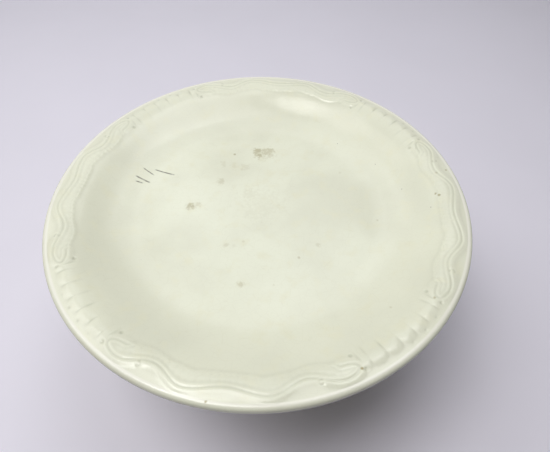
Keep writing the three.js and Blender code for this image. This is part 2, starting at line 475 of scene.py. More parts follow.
def border_relief(radius, angle, border):
    """Height of the moulding over the plain border, in millimetres, at each radius and angle."""
    pitch = 360 / border.panels
    turned = np.degrees(angle - border.turn) % 360
    away = np.minimum(turned % pitch, pitch - turned % pitch)
    x = along(away)
    share = panel_relief(x, radius, away, border.ribbon_spacing / MM)
    flutes = flute_relief(radius, away, 360 / border.flutes, pitch / 2, turned)
    height = np.where(share > np.abs(flutes), share, flutes) - hollows(x, radius)
    swings = [np.sin(times * angle + start) for times, start in WEAR_SWINGS]
    return border.relief / MM * height * (1 - BORDER_WEAR * swings[0] * swings[1])


def wall_rise(radius):
    """Share of the well's depth that the wall has risen by. Its slope grows smoothly over the toe, from the
    flat floor to the steepest place, and dies away smoothly over the head, up to the border's edge."""

    def area(t):
        return t**3 - t**4 / 2

    toe = area(np.clip((radius - WELL_RADIUS) / WALL_TOE_RUN, 0, 1))
    head = area(1) - area(np.clip((BORDER_OUTER - radius) / WALL_HEAD_RUN, 0, 1))
    return (WALL_TOE_RUN * toe + WALL_HEAD_RUN * head) / ((WALL_TOE_RUN + WALL_HEAD_RUN) * area(1))


def surface_level(radius):
    """Height of the dish's plain upper surface: the well's wall, and the rim that rolls down to the lip."""
    roll = LIP_DROP * smooth((radius - ROLL_START) / (LIP_TOP_RADIUS - ROLL_START))
    return mix(FLOOR_LEVEL, RIM_LEVEL, wall_rise(radius)) - roll


def ring(radius, level, angles):
    """A ring's points; radius and level are numbers, or one for each angle."""
    radius = np.broadcast_to(radius, angles.shape)
    level = np.broadcast_to(level, angles.shape)
    return np.stack([radius * np.cos(angles), radius * np.sin(angles), level], 1)


def ring_angles(columns, turn=0.0):
    return turn + np.linspace(0, 2 * np.pi, columns, endpoint=False)


def strip(first, second, columns_a, columns_b):
    """Faces between two rings that start at these indices. One may have several times as many points."""
    few = min(columns_a, columns_b)
    many = max(columns_a, columns_b) // few
    i = np.arange(few)
    after = (i + 1) % few
    if many == 1:
        return [np.stack([first + i, second + i, second + after, first + after], 1)]
    first_has_more = columns_a > columns_b
    faces = []
    for k in range(many):
        near = i if k < many / 2 else after
        here = i * many + k
        there = (here + 1) % (few * many)
        if first_has_more:
            faces.append(np.stack([first + here, second + near, first + there], 1))
        else:
            faces.append(np.stack([first + near, second + here, second + there], 1))
    half = (i * many + math.ceil(many / 2)) % (few * many)
    if first_has_more:
        faces.append(np.stack([first + half, second + i, second + after], 1))
    else:
        faces.append(np.stack([first + i, second + half, first + after], 1))
    return faces


def skin(rings, closed):
    """Points and faces over a list of rings. closed joins the last to the first, and otherwise the rings
    start and end in a middle point."""
    starts = np.cumsum([0] + [len(r) for r in rings])
    points = np.concatenate(rings)
    faces = []
    for k, (here, there) in enumerate(zip(rings, rings[1:])):
        faces += strip(starts[k], starts[k + 1], len(here), len(there))
    if closed:
        return points, faces + strip(starts[-2], 0, len(rings[-1]), len(rings[0]))
    count = len(points)
    middles = np.array([[0, 0, rings[0][0, 2]], [0, 0, rings[-1][0, 2]]])
    points = np.concatenate([points, middles])
    i = np.arange(len(rings[0]))
    faces.append(np.stack([np.full_like(i, count), i, (i + 1) % len(i)], 1))
    i = np.arange(len(rings[-1]))
    last = starts[-2]
    faces.append(np.stack([np.full_like(i, count + 1), last + (i + 1) % len(i), last + i], 1))
    return points, faces


def mesh_object(name, points, faces):
    """A smooth mesh object from points in millimetres and arrays of faces."""
    mesh = bpy.data.meshes.new(name)
    counts = np.concatenate([np.full(len(f), f.shape[1]) for f in faces])
    corners = np.concatenate([f.ravel() for f in faces])
    mesh.vertices.add(len(points))
    mesh.vertices.foreach_set("co", (points * MM).ravel())
    mesh.loops.add(len(corners))
    mesh.loops.foreach_set("vertex_index", corners)
    mesh.polygons.add(len(counts))
    mesh.polygons.foreach_set("loop_start", np.concatenate([[0], np.cumsum(counts)[:-1]]))
    mesh.update(calc_edges=True)
    mesh.validate()
    mesh.shade_smooth()
    piece = bpy.data.objects.new(name, mesh)
    bpy.context.collection.objects.link(piece)
    return piece


def rounded(corners, steps=4, share=0.45):
    """A profile through corners (radius, level, rounding), which take at most a share of an edge."""
    result = []
    for k, (x, y, size) in enumerate(corners):
        here = np.array((x, y), float)
        if size <= 0:
            result.append(tuple(here))
            continue
        before = np.array(corners[k - 1][:2], float) - here
        after = np.array(corners[(k + 1) % len(corners)][:2], float) - here
        enter = here + before * min(size / np.linalg.norm(before), share)
        leave = here + after * min(size / np.linalg.norm(after), share)
        for t in np.linspace(0, 1, steps + 1):
            result.append(tuple((1 - t) ** 2 * enter + 2 * t * (1 - t) * here + t**2 * leave))
    return result


def dish_rings(border):
    """All rings of the dish from the middle of the well outwards, round the lip and back below. The number
    of rings before the moulded ones and the relief of the moulded ones come with them."""
    fine = ring_angles(BORDER_COLUMNS, border.turn)
    plain = ring_angles(PLAIN_COLUMNS, border.turn)
    border_foot = BORDER_OUTER - BORDER_WIDTH - BORDER_MARGIN
    rings, reliefs = [], []
    well = np.linspace(FIRST_RING, WELL_RADIUS, WELL_ROWS + 1)
    wall = np.linspace(WELL_RADIUS, border_foot, WALL_ROWS + 1)
    for radius in (*well, *wall[1:]):
        rings.append(ring(radius, surface_level(radius), plain))
    inner = len(rings)
    rows = round((LIP_TOP_RADIUS - border_foot) / BORDER_ROW)
    for radius in np.linspace(border_foot, LIP_TOP_RADIUS, rows + 1)[1:-1]:
        left = smooth((LIP_TOP_RADIUS - radius) / RELIEF_FADE)
        reliefs.append(left * border_relief(np.full(fine.shape, radius), fine, border))
        rings.append(ring(radius, surface_level(radius) + reliefs[-1], fine))
    for turn in np.radians(np.linspace(0, 180, LIP_ROWS + 1)):
        over = np.cos(turn) > 0
        squareness = LIP_TOP_SQUARENESS if over else LIP_FOOT_SQUARENESS
        depth = LIP_ROUND if over else LIP_WIDTH / 2
        radius = RIM_RADIUS - depth * (1 - squared(np.sin(turn), squareness))
        level = LIP_MIDDLE + LIP_THICKNESS / 2 * squared(np.cos(turn), squareness)
        rings.append(ring(radius, level, plain))
    for radius in np.linspace(BORDER_OUTER, WELL_RADIUS, UNDERSIDE_ROWS + 1):
        level = mix(UNDERSIDE, RIM_LEVEL - WALL_THICKNESS, wall_rise(radius))
        rings.append(ring(radius - WALL_THICKNESS / 2, level, plain))
    seat_bottom = UNDERSIDE - SEAT_RING_HEIGHT
    seat = [
        (SEAT_RING_OUTER + SEAT_MARGIN, UNDERSIDE, 0),
        (SEAT_RING_OUTER, UNDERSIDE, 1.4),
        (SEAT_RING_OUTER, seat_bottom, 0.9),
        (SEAT_RING_INNER, seat_bottom, 0.5),
        (SEAT_RING_INNER, UNDERSIDE, 0.8),
        (SEAT_RING_INNER - SEAT_MARGIN, UNDERSIDE, 0),
    ]
    rings += [ring(radius, level, plain) for radius, level in rounded(seat)]
    return rings, inner, np.stack(reliefs)


# A point lies in a hollow where it is lower than the mean this many rows and columns round it. Where it is
# this many millimetres lower, it holds all the glaze that can gather.
POOL_REACH = 5
POOL_DEPTH = 0.22


def pooled_glaze(rings, inner, height):
    """How deep each point lies in a hollow of the border, from 0 to 1, where glaze gathers."""
    shifts = range(-POOL_REACH, POOL_REACH + 1)
    around = sum(np.roll(height, shift, 1) for shift in shifts) / len(shifts)
    padded = np.pad(around, ((POOL_REACH, POOL_REACH), (0, 0)), "edge")
    wide = sum(padded[POOL_REACH + k : POOL_REACH + k + len(height)] for k in shifts) / len(shifts)
    hollow = np.clip((wide - height) / POOL_DEPTH, 0, 1)
    before = sum(len(r) for r in rings[:inner])
    after = sum(len(r) for r in rings[inner + len(height) :])
    middle_points = 2
    return np.concatenate([np.zeros(before), hollow.ravel(), np.zeros(after + middle_points)])


def make_piece(name, points, faces, pool, material, slot, *nodes):
    """A piece with its material, in place of nodes of the solids; the slot is not used. Its points keep how
    much glaze has pooled there."""
    piece = mesh_object(name, points, faces)
    layer = piece.data.attributes.new("pool", "FLOAT", "POINT")
    layer.data.foreach_set("value", np.asarray(pool, dtype=np.float32))
    piece.data.materials.append(material)
    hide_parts(*nodes)
    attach(piece, "root")


def add_node(tree, kind, inputs=(), output=0, **settings):
    """Adds a shader node and gives back one of its outputs. Its inputs come in order or by key, each a
    value or another node's output."""
    made = tree.nodes.new("ShaderNode" + kind)
    for name, value in settings.items():
        setattr(made, name, value)
    pairs = inputs.items() if isinstance(inputs, dict) else enumerate(inputs)
    for key, value in pairs:
        socket = made.inputs[key]
        if isinstance(value, bpy.types.NodeSocket):
            tree.links.new(value, socket)
        elif socket.type == "RGBA":
            socket.default_value = (*value[:3], 1)
        else:
            socket.default_value = value
    return made.outputs[output] if made.outputs else None


def times(tree, *values):
    """Two values multiplied, plus the third if there is one."""
    operation = "MULTIPLY_ADD" if len(values) > 2 else "MULTIPLY"
    return add_node(tree, "Math", values, operation=operation)


def eased(tree, value, *ends):
    """A value eased between two ends, to 0 and 1 or to the two levels that follow the ends."""
    return add_node(tree, "MapRange", (value, *ends), interpolation_type="SMOOTHSTEP")


def laid_over(tree, share, under, colour):
    """A share of a colour over another. The Mix node's colours are its inputs 6 and 7 and its output 2."""
    return add_node(tree, "Mix", {0: share, 6: under, 7: colour}, output=2, data_type="RGBA")


def from_above(tree, place):
    """A place without its height."""
    return add_node(tree, "VectorMath", (place, (1, 1, 0)), operation="MULTIPLY")


def dimmed(colour, share):
    return tuple(c * share for c in colour)


def new_material(name):
    """An empty node material and its tree."""
    material = bpy.data.materials.new(name)
    material.use_nodes = True
    material.node_tree.nodes.clear()
    return material, material.node_tree


def grain(millimetres):
    """The scale at which a texture's lumps or cells are so wide."""
    return 1 / (millimetres * MM)


# Marks on the well and the border: x and y from the middle and width in millimetres, how dark, how ragged
STAINS = [
    (-0.4, 52.6, 6, 0.5, 1.0),
    (0.6, 49, 5.5, 0.5, 1.0),
    (4.8, 51.4, 7, 0.38, 1.1),
    (8, 53, 5, 0.36, 1.0),
    (8.6, 48.6, 5, 0.22, 1.1),
    (3.6, 46, 5, 0.14, 1.2),
    (-15.4, 50.2, 1.7, 0.5, 0.4),
    (-22.6, 41.7, 4.5, 0.13, 1.2),
    (-15.7, 39.4, 5, 0.1, 1.2),
    (-8.8, 37.5, 5, 0.13, 1.2),
    (-24.3, 25.2, 4.6, 0.24, 1.0),
    (-42, 5.8, 5, 0.5, 0.8),
    (-37.8, 6.6, 4.4, 0.2, 1.0),
    (-5.9, 13.6, 9, 0.09, 1.3),
    (-4.3, -1.3, 9, 0.06, 1.3),
    (2.4, 6, 20, 0.06, 1.4),
    (-19.5, -24.6, 2.6, 0.2, 0.8),
    (-15.1, -25.2, 2.4, 0.09, 0.8),
    (-10, -22.5, 1.8, 0.14, 0.6),
    (32.5, -26.8, 2.8, 0.18, 0.9),
    (20.9, -34.8, 1.7, 0.3, 0.5),
    (-11.4, -50.7, 3.4, 0.26, 0.8),
    (6.2, -51.9, 1.5, 0.12, 0.5),
    (52.4, 30.1, 2, 0.12, 0.7),
    (69.4, -10.3, 1.4, 0.22, 0.5),
    (63.2, -71.7, 1.4, 0.22, 0.5),
    (103.6, -0.9, 1.5, 0.6, 0.9),
    (104.9, -2.7, 1.5, 0.6, 0.9),
    (114.2, 16.3, 1.2, 0.6, 0.5),
    (107.6, 14.1, 1.8, 0.3, 0.6),
    (83.8, -70.5, 1.3, 0.5, 0.5),
    (42.5, -104, 1.4, 0.8, 0.3),
    (-25.4, -115, 1.3, 0.75, 0.8),
]
# Grey rubs left by cutlery: the two ends and the width of each, in millimetres
RUBS = [
    ((-74.3, 37.9), (-66.4, 32.2), 0.6),
    ((-66.9, 37.3), (-53.5, 32.4), 0.7),
    ((-78, 30.7), (-68.3, 25.9), 0.8),
    ((-77.6, 26.5), (-72.4, 25.3), 0.7),
]

# Where a mark's edge starts and ends: a stain's and a rub's in shares of the width, and the end of a rub in
# millimetres past its length. Between two levels of a noise, a rub goes from broken to whole.
SPOT_EDGE = (0.15, 0.75)
RUB_EDGE = (0.25, 0.95)
RUB_END = (-1.6, 0.2)
RUB_BROKEN = (0.3, 0.6, 0.45, 1.0)


def spot(tree, flat, ragged, mark):
    """A soft mark with an uneven edge, as a share from 0 to its darkness."""
    x, y, width, dark, rough = mark
    middle = (x * MM, y * MM, 0)
    there = add_node(tree, "VectorMath", (flat, middle), output="Value", operation="DISTANCE")
    swing = 2 * rough * width * MM
    near, far = (share * width * MM + swing / 2 for share in SPOT_EDGE)
    return eased(tree, times(tree, ragged, swing, there), near, far, dark, 0.0)


def rub(tree, place, ragged, mark):
    """A thin rub between two points, with broken edges."""
    (x0, y0), (x1, y1), width = mark
    half = math.hypot(x1 - x0, y1 - y0) / 2
    turn = math.atan2(y1 - y0, x1 - x0)
    middle = ((x0 + x1) / 2 * MM, (y0 + y1) / 2 * MM, 0)
    moved = add_node(tree, "VectorMath", (place, middle), operation="SUBTRACT")
    turned = add_node(tree, "VectorRotate", {"Vector": moved, "Angle": -turn}, rotation_type="Z_AXIS")
    axes = add_node(tree, "SeparateXYZ", (turned,)).node.outputs
    run = add_node(tree, "Math", (axes["X"],), operation="ABSOLUTE")
    across = add_node(tree, "Math", (axes["Y"],), operation="ABSOLUTE")
    near, far = ((half + past) * MM for past in RUB_END)
    in_run = eased(tree, run, near, far, 1.0, 0.0)
    near, far = (share * width * MM for share in RUB_EDGE)
    in_width = eased(tree, across, near, far, 1.0, 0.0)
    return times(tree, times(tree, in_run, in_width), eased(tree, ragged, *RUB_BROKEN))


def strongest(tree, shares):
    """The largest of several shares."""
    top = shares[0]
    for share in shares[1:]:
        top = add_node(tree, "Math", (top, share), operation="MAXIMUM")
    return top


# Crazing, in shares of a cell: the width and the swing of the bends in its lines, and the edge of a line
CRAZE_BENDS = 2.5
CRAZE_SWING = 0.8
CRAZE_EDGE = (0.008, 0.035)


def craze_net(tree, place, cell):
    """Hairlines between the cells of a crazed glaze, from 0 to 1 on a line."""
    lumps = {"Vector": place, "Scale": 1 / (CRAZE_BENDS * cell)}
    bend = add_node(tree, "TexNoise", lumps, output="Color")
    off = add_node(tree, "VectorMath", (bend, (0.5, 0.5, 0.5)), operation="SUBTRACT")
    swing = (CRAZE_SWING * cell,) * 3
    bent = add_node(tree, "VectorMath", (off, swing, place), operation="MULTIPLY_ADD")
    net = add_node(tree, "TexVoronoi", {"Vector": bent, "Scale": 1 / cell}, feature="DISTANCE_TO_EDGE")
    return eased(tree, net, *CRAZE_EDGE, 1.0, 0.0)


def specks(tree, place, spacing, size, share):
    """Sparse iron specks: this share of the cells hold a dot."""
    voronoi = add_node(tree, "TexVoronoi", {"Vector": place, "Scale": grain(spacing)}, feature="F1")
    cells = voronoi.node.outputs
    chance = add_node(tree, "SeparateXYZ", (cells["Color"],))
    chosen = add_node(tree, "Math", (chance, 1 - share), operation="GREATER_THAN")
    near, far = SPECK_CORE * size / spacing, size / spacing
    return times(tree, eased(tree, cells["Distance"], near, far, 1.0, 0.0), chosen)


SPECK_COLOUR = srgb("5A4A35")
RUB_COLOUR = srgb("55503F")

# Widths in millimetres and detail of the lumps in the glaze: broad, middle and fine mottle, swell, and
# ripples. A stain's edge is as ragged as the next width, and the clay's grit is drawn coarse, to show.
GLAZE_LUMPS = [(45, 3.0), (9, 3.0), (1.6, 2.0), (14, 1.0), (2.2, 1.0)]
RAG_WIDTH = 2.4
GRIT_WIDTH = 0.5

# The glaze's colour in its darker and its warmer clouds, and the clay's in its darker grains, as shares
MOTTLE = 0.945
WARMTH = (0.985, 0.965, 0.9)
GRIT_DARK = 0.8

# How much of its own colour each thing in the glaze shows, and how much duller the surface is there
POOL_SHARE = 0.62
CRAZE_SHARE = 0.035
SPECK_SHARE = 0.6
RUB_SHARE = 0.85
MOTTLE_DULLS = 0.06
STAIN_DULLS = 0.1
RUB_DULLS = 0.25
CLAY_DULLS = 0.6

# Heights in the surface, in millimetres
SWELL_HEIGHT = 0.1
RIPPLE_HEIGHT = 0.018
CRAZE_DEPTH = 0.004
GRIT_HEIGHT = 0.08

# Iron specks: the width of the cells that may hold one and a speck's reach in millimetres, the share of the
# cells that do, and the dark share of the reach
IRON = (11, 0.42, 0.16)
SPECK_CORE = 0.4

# The two levels of its noise between which a mottle comes in, and how much of its colour it shows at each
BROAD_CLOUDS = (0.35, 0.68, 0.0, 1.0)
WARM_CLOUDS = (0.5, 0.75, 0.0, 0.5)
FINE_CLOUDS = (0.5, 0.8, 0.0, 0.25)
DULL_CLOUDS = (0.3, 0.8)
GLAZE_IOR = 1.52

# The glaze is milky within this share of the well's floor, and clear from the wall's steepest place on. A
# paler band painted along the top of the lip stands for the line of highlight there; it lies between two
# edges that start and end this far inside the rim, in millimetres.
MILKY_SHARE = 0.85
PAINTED_HIGHLIGHT_EDGES = [(3.6, 2.6), (2.2, 0.8)]

# The foot is bare up to an edge between these levels, lowered by up to the swing, in millimetres.
BARE_EDGE = (0.55, 1.0)
BARE_SWING = 0.9


def dish_tones(tree, place, glaze):
    """Where the glaze on the dish is milky, over the well, and where a paler band is painted along the
    lip's top as a highlight.
    """
    radius = add_node(tree, "VectorMath", (from_above(tree, place),), output="Value", operation="LENGTH")
    inner, outer = MILKY_SHARE * WELL_RADIUS * MM, STEEPEST_RADIUS * MM
    milky = eased(tree, radius, inner, outer, 1.0, 0.0)
    onto, off = ([(RIM_RADIUS - inside) * MM for inside in edge] for edge in PAINTED_HIGHLIGHT_EDGES)
    pale = times(tree, eased(tree, radius, *onto, 0.0, 1.0), eased(tree, radius, *off, 1.0, 0.0))
    return (milky, glaze.thick), (pale, glaze.painted_highlight)


def use_marks(tree, place, glaze, rough):
    """Brown stains that have crept under the glaze and grey rubs of cutlery. Both dull it a little."""
    lumps = {"Vector": place, "Scale": grain(RAG_WIDTH), "Detail": 4.0, "Roughness": 0.65}
    ragged = add_node(tree, "TexNoise", lumps)
    flat = from_above(tree, place)
    stains = strongest(tree, [spot(tree, flat, ragged, mark) for mark in STAINS])
    rubs = strongest(tree, [rub(tree, place, ragged, mark) for mark in RUBS])
    rough = times(tree, rubs, RUB_DULLS, rough)
    rough = times(tree, stains, STAIN_DULLS, rough)
    return [(stains, glaze.stain), (times(tree, rubs, RUB_SHARE), RUB_COLOUR)], rough


def wiped_foot(tree, place, glaze, uneven, rough, height):
    """Gritty fired clay under the foot ring, where the glaze was wiped off up to an uneven edge."""
    level = add_node(tree, "SeparateXYZ", (place,), output="Z")
    edge = times(tree, uneven, BARE_SWING * MM, level)
    low, high = (step * MM for step in BARE_EDGE)
    bare = eased(tree, edge, low, high, 1.0, 0.0)
    grit = add_node(tree, "TexNoise", {"Vector": place, "Scale": grain(GRIT_WIDTH), "Detail": 3.0})
    clay = laid_over(tree, grit, glaze.clay, dimmed(glaze.clay, GRIT_DARK))
    rough = times(tree, bare, CLAY_DULLS, rough)
    height = times(tree, times(tree, bare, grit), GRIT_HEIGHT, height)
    return (bare, clay), rough, height


def glaze_material(name, glaze, used=False, wiped=False):
    """Clear lead glaze over cream-white earthenware, dipped and fired: glassy, with a soft mottle, faint
    ripples, a net of hairline crazing, a few iron specks, and a greener tone where it pooled."""
    material, tree = new_material(name)
    place = add_node(tree, "TexCoord", output="Object")
    broad, middle, fine, swell, ripple = [
        add_node(tree, "TexNoise", {"Vector": place, "Scale": grain(width), "Detail": detail})
        for width, detail in GLAZE_LUMPS
    ]
    pool = add_node(tree, "Attribute", output="Fac", attribute_name="pool")
    craze = craze_net(tree, place, glaze.craze_width)
    iron = specks(tree, place, *IRON)
    darker = dimmed(glaze.colour, MOTTLE)
    warmer = tuple(c * share for c, share in zip(glaze.colour, WARMTH))
    layers = [
        (eased(tree, broad, *BROAD_CLOUDS), darker),
        (eased(tree, middle, *WARM_CLOUDS), warmer),
        (eased(tree, fine, *FINE_CLOUDS), darker),
        (times(tree, pool, POOL_SHARE), glaze.pooled),
        (times(tree, craze, CRAZE_SHARE), glaze.stain),
        (times(tree, iron, SPECK_SHARE), SPECK_COLOUR),
    ]
    dullest = glaze.roughness + MOTTLE_DULLS
    rough = eased(tree, middle, *DULL_CLOUDS, glaze.roughness, dullest)
    height = times(tree, swell, SWELL_HEIGHT)
    height = times(tree, ripple, RIPPLE_HEIGHT, height)
    height = times(tree, craze, -CRAZE_DEPTH, height)
    if used:
        # The pale band along the lip is a painted highlight.
        milky, pale = dish_tones(tree, place, glaze)
        marks, rough = use_marks(tree, place, glaze, rough)
        layers = [milky, *layers, pale, *marks]
    if wiped:
        clay, rough, height = wiped_foot(tree, place, glaze, middle, rough, height)
        layers.append(clay)
    tone = tuple(glaze.colour)
    for share, colour in layers:
        tone = laid_over(tree, share, tone, colour)
    normal = add_node(tree, "Bump", {"Height": height, "Strength": 1.0, "Distance": 1 * MM})
    surface = {"Base Color": tone, "Roughness": rough, "IOR": GLAZE_IOR, "Normal": normal}
    add_node(tree, "OutputMaterial", {"Surface": add_node(tree, "BsdfPrincipled", surface)})
    return material


class BOWL_OT_dish(bpy.types.Operator):
    """Make the glazed dish with its moulded border"""

    bl_idname = "bowl.dish"
    bl_label = "Glazed Dish"

    def execute(self, context):
        rings, inner, height = dish_rings(context.scene.bowl_border)
        points, faces = skin(rings, closed=False)
        pool = pooled_glaze(rings, inner, height)
        glaze = context.scene.bowl_glaze
        material = glaze_material("clear_glaze_on_cream_earthenware", glaze, used=True)
        make_piece("glazed_dish", points, faces, pool, material, "glaze", "dish")
        return {"FINISHED"}


def trumpet(start, end, steps=30):
    """A quarter ellipse that leaves its first point level and arrives upright at its last."""
    turns = np.linspace(0, np.pi / 2, steps + 1)
    return [(mix(start[0], end[0], math.sin(t)), mix(start[1], end[1], 1 - math.cos(t))) for t in turns]


def ogee(start, end, steps=22):
    """A run that leaves its first point upright and arrives upright at its last."""
    shares = np.linspace(0, 1, steps + 1)
    return [(mix(start[0], end[0], float(smooth(t))), mix(start[1], end[1], t)) for t in shares]


# Steps round the knop's half circle
KNOP_ROWS = 22


def pedestal_profile():
    """The pedestal's closed profile of (radius, level), counter-clockwise, in three parts: the base's edge,
    the outside of the body, and the collar with the inside."""
    collar_foot = COLLAR_TOP - COLLAR_HEIGHT
    knop_head = collar_foot - NECK_HEIGHT
    knop_foot = knop_head - KNOP_HEIGHT
    stem_foot = knop_foot - STEM_HEIGHT
    base_top = BASE_EDGE_HEIGHT + EDGE_ROUND
    bore = NECK_RADIUS - PEDESTAL_WALL
    hollow = BASE_RADIUS - FOOT_RING_WIDTH - EDGE_ROUND
    collar_bore = COLLAR_RADIUS - PEDESTAL_WALL
    ledge = BASE_RADIUS - BASE_STEP
    edge = [
        (hollow, FOOT_RING_HEIGHT, 0),
        (BASE_RADIUS - FOOT_RING_WIDTH, 0, 0.7),
        (BASE_RADIUS - EDGE_ROUND / 2, 0, 1.1),
        (BASE_RADIUS, BASE_EDGE_HEIGHT, 1.5),
        (ledge, BASE_EDGE_HEIGHT, 0.5),
        (ledge - LEDGE_LEAN, base_top, 0.5),
        (ledge - LEDGE_RUN, base_top + LEDGE_RISE, 0),
    ]
    collar = [
        (COLLAR_RADIUS - COLLAR_STEP, collar_foot - 2 * COLLAR_STEP, 0),
        (COLLAR_RADIUS - COLLAR_STEP, collar_foot, 0.4),
        (COLLAR_RADIUS, collar_foot + COLLAR_STEP, 0.7),
        (COLLAR_RADIUS, COLLAR_TOP, 0.4),
        (collar_bore, COLLAR_TOP, 0.4),
        (collar_bore, collar_foot + COLLAR_HEIGHT / 2, 0),
    ]
    turns = np.linspace(0, np.pi, KNOP_ROWS + 1)[1:-1]
    knop = [
        (mix(NECK_RADIUS, KNOP_RADIUS, math.sin(t)), knop_foot + KNOP_HEIGHT / 2 * (1 - math.cos(t)))
        for t in turns
    ]
    sweep = trumpet((ledge, base_top), (NECK_RADIUS, stem_foot))[2:]
    neck = ogee((NECK_RADIUS, knop_head + EDGE_ROUND), (COLLAR_RADIUS - COLLAR_STEP, collar_foot))[:-1]
    inner_neck = ogee((bore, knop_head + PEDESTAL_WALL / 2), (collar_bore, collar_foot + COLLAR_HEIGHT / 2))
    inner_foot = trumpet((hollow, FOOT_RING_HEIGHT), (bore, stem_foot - PEDESTAL_WALL))
    inside = inner_neck[::-1][1:] + inner_foot[::-1]
    return rounded(edge)[1:-1], sweep + knop + neck, rounded(collar)[1:] + inside


# The mould's two seams, which fade over this width before the base's step
SEAM_HEIGHT = 0.12
SEAM_WIDTH = 0.7
SEAM_FADE = 4

# Glaze gathers over these widths by the knop's corners and over the base's step, out to these distances
# from the neck and the base's edge, and fills this share of what a hollow holds.
KNOP_POOL = (1.2, 2.5)
STEP_POOL = (1.0, 1.5)
PEDESTAL_POOL = 0.8


class BOWL_OT_pedestal(bpy.types.Operator):
    """Make the hollow pedestal, with the faint seams of its two-part mould"""

    bl_idname = "bowl.pedestal"
    bl_label = "Hollow Pedestal"

    def execute(self, context):
        angles = ring_angles(PEDESTAL_COLUMNS)
        edge, body, rest = pedestal_profile()
        rings = [ring(radius, level, angles) for radius, level in edge]
        for radius, level in body:
            shown = smooth((BASE_RADIUS - BASE_STEP - radius) / SEAM_FADE)
            seam = SEAM_HEIGHT * shown * bump(np.sin(angles) * radius, SEAM_WIDTH)
            rings.append(ring(radius + seam, level, angles))
        rings += [ring(radius, level, angles) for radius, level in rest]
        points, faces = skin(rings, closed=True)
        pool = self.pooled(points)
        glaze = context.scene.bowl_glaze
        material = glaze_material("pooled_glaze_on_turned_foot", glaze, wiped=True)
        make_piece("glazed_pedestal", points, faces, pool, material, "pedestal_glaze", "pedestal")
        return {"FINISHED"}

    def pooled(self, points):
        """Glaze runs down as it melts, and gathers over the base's step and in the knop's corners."""
        radius = np.hypot(points[:, 0], points[:, 1])
        knop_middle = COLLAR_TOP - COLLAR_HEIGHT - NECK_HEIGHT - KNOP_HEIGHT / 2
        by_knop = bump(np.abs(points[:, 2] - knop_middle) - KNOP_HEIGHT / 2, KNOP_POOL[0])
        by_knop *= radius < NECK_RADIUS + KNOP_POOL[1]
        by_step = bump(points[:, 2] - BASE_EDGE_HEIGHT - EDGE_ROUND, STEP_POOL[0])
        by_step *= radius < BASE_RADIUS - STEP_POOL[1]
        return PEDESTAL_POOL * np.maximum(by_knop, by_step)


# The fillets of slip: how deep they reach into the joint, the steps round their curve, how uneven they are,
# how much glaze has gathered on them, how many long and short wipes go round, and a short one's share
FILLET_BURY = 0.12
FILLET_ROWS = 12
FILLET_UNEVEN = 0.05
FILLET_POOL = 0.35
LONG_WIPES = 5
SHORT_WIPES = 13
SHORT_SHARE = 0.6


class BOWL_OT_lutes(bpy.types.Operator):
    """Make the two fillets of slip that hold the dish on the pedestal"""

    bl_idname = "bowl.lutes"
    bl_label = "Slip Fillets"

    def execute(self, context):
        material = glaze_material("sponged_slip_under_glaze", context.scene.bowl_glaze)
        outer = (COLLAR_RADIUS, OUTER_HIGH.z + JOINT_GAP)
        inner = (COLLAR_RADIUS - PEDESTAL_WALL, INNER_HIGH.z + JOINT_GAP)
        outer_size = OUTER_HIGH.x - COLLAR_RADIUS
        inner_size = INNER_HIGH.z - INNER_LOW.z + JOINT_GAP
        self.fillet("wiped_outer_slip", outer, outer_size, 1, True, material, "outer_lute")
        self.fillet("rolled_inner_slip", inner, inner_size, -1, False, material, "inner_lute")
        return {"FINISHED"}

    def fillet(self, name, corner, size, side, hollow, material, node):
        """A ring in a corner, a little uneven where the finger or the sponge went round."""
        angles = ring_angles(PEDESTAL_COLUMNS)
        long_wipes = 1 + np.sin(LONG_WIPES * angles + size)
        wipes = long_wipes * (1 + SHORT_SHARE * np.sin(SHORT_WIPES * angles)) / 2
        uneven = 1 - FILLET_UNEVEN * wipes
        rings = [ring(corner[0] - side * FILLET_BURY, corner[1] + FILLET_BURY, angles)]
        for t in np.linspace(0, np.pi / 2, FILLET_ROWS + 1):
            across = 1 - math.cos(t) if hollow else math.sin(t)
            down = 1 - math.sin(t) if hollow else math.cos(t)
            radius = corner[0] - side * FILLET_BURY * (across == 0) + side * size * across * uneven
            level = corner[1] + FILLET_BURY * (down == 0) - size * down * uneven
            rings.append(ring(radius, level, angles))
        if side < 0:
            rings.reverse()
        points, faces = skin(rings, closed=True)
        make_piece(name, points, faces, np.full(len(points), FILLET_POOL), material, "slip", node)


# Where the photograph was taken from: back and up from the lip's middle, in shares of the rim's radius, the
# camera's turn, tilt from straight down and roll, in degrees, and its shift, in widths of the picture
CAMERA_BACK = 1.461
CAMERA_UP = 1.64
CAMERA_TURN = -3.25
CAMERA_TILT = 38.19
CAMERA_ROLL = 0.62
CAMERA_SHIFT = -0.002
SENSOR_WIDTH = 36

# The floor: its rings and the width of its clouds, in millimetres, where in the noise a cloud comes in, the
# share of the colour in it, and the share that light bouncing off the floor keeps
FLOOR_RINGS = (200, 600, 1300)
CARD_CLOUD_WIDTH = 120
CARD_CLOUDS = (0.3, 0.7)
CARD_MOTTLE = 0.985
CARD_BOUNCE = 0.75
CARD_ROUGHNESS = 0.9
CARD_SHINE = 0.05

# Metres from the middle of the rim to each lamp
LAMP_DISTANCE = 1.1

# Soft lamps, the strongest high on the left and weaker ones behind and on the right: name, degrees round
# the bowl and above it, width, parts of the power, and colour
WARM, PLAIN, COOL = (1, 0.99, 0.97), (1, 1, 1), (0.92, 0.97, 1)
LAMPS = [
    ("key_lamp", 208, 75, 0.5, 32, WARM),
    ("left_lamp", 180, 60, 0.7, 24, PLAIN),
    ("right_lamp", 30, 74, 0.5, 15, PLAIN),
    ("back_right_lamp", 60, 64, 0.5, 4, COOL),
    ("back_left_lamp", 150, 50, 0.5, 7, PLAIN),
    ("back_lamp", 90, 60, 0.6, 8, COOL),
    ("low_back_lamp", 120, 45, 0.5, 3, COOL),
]


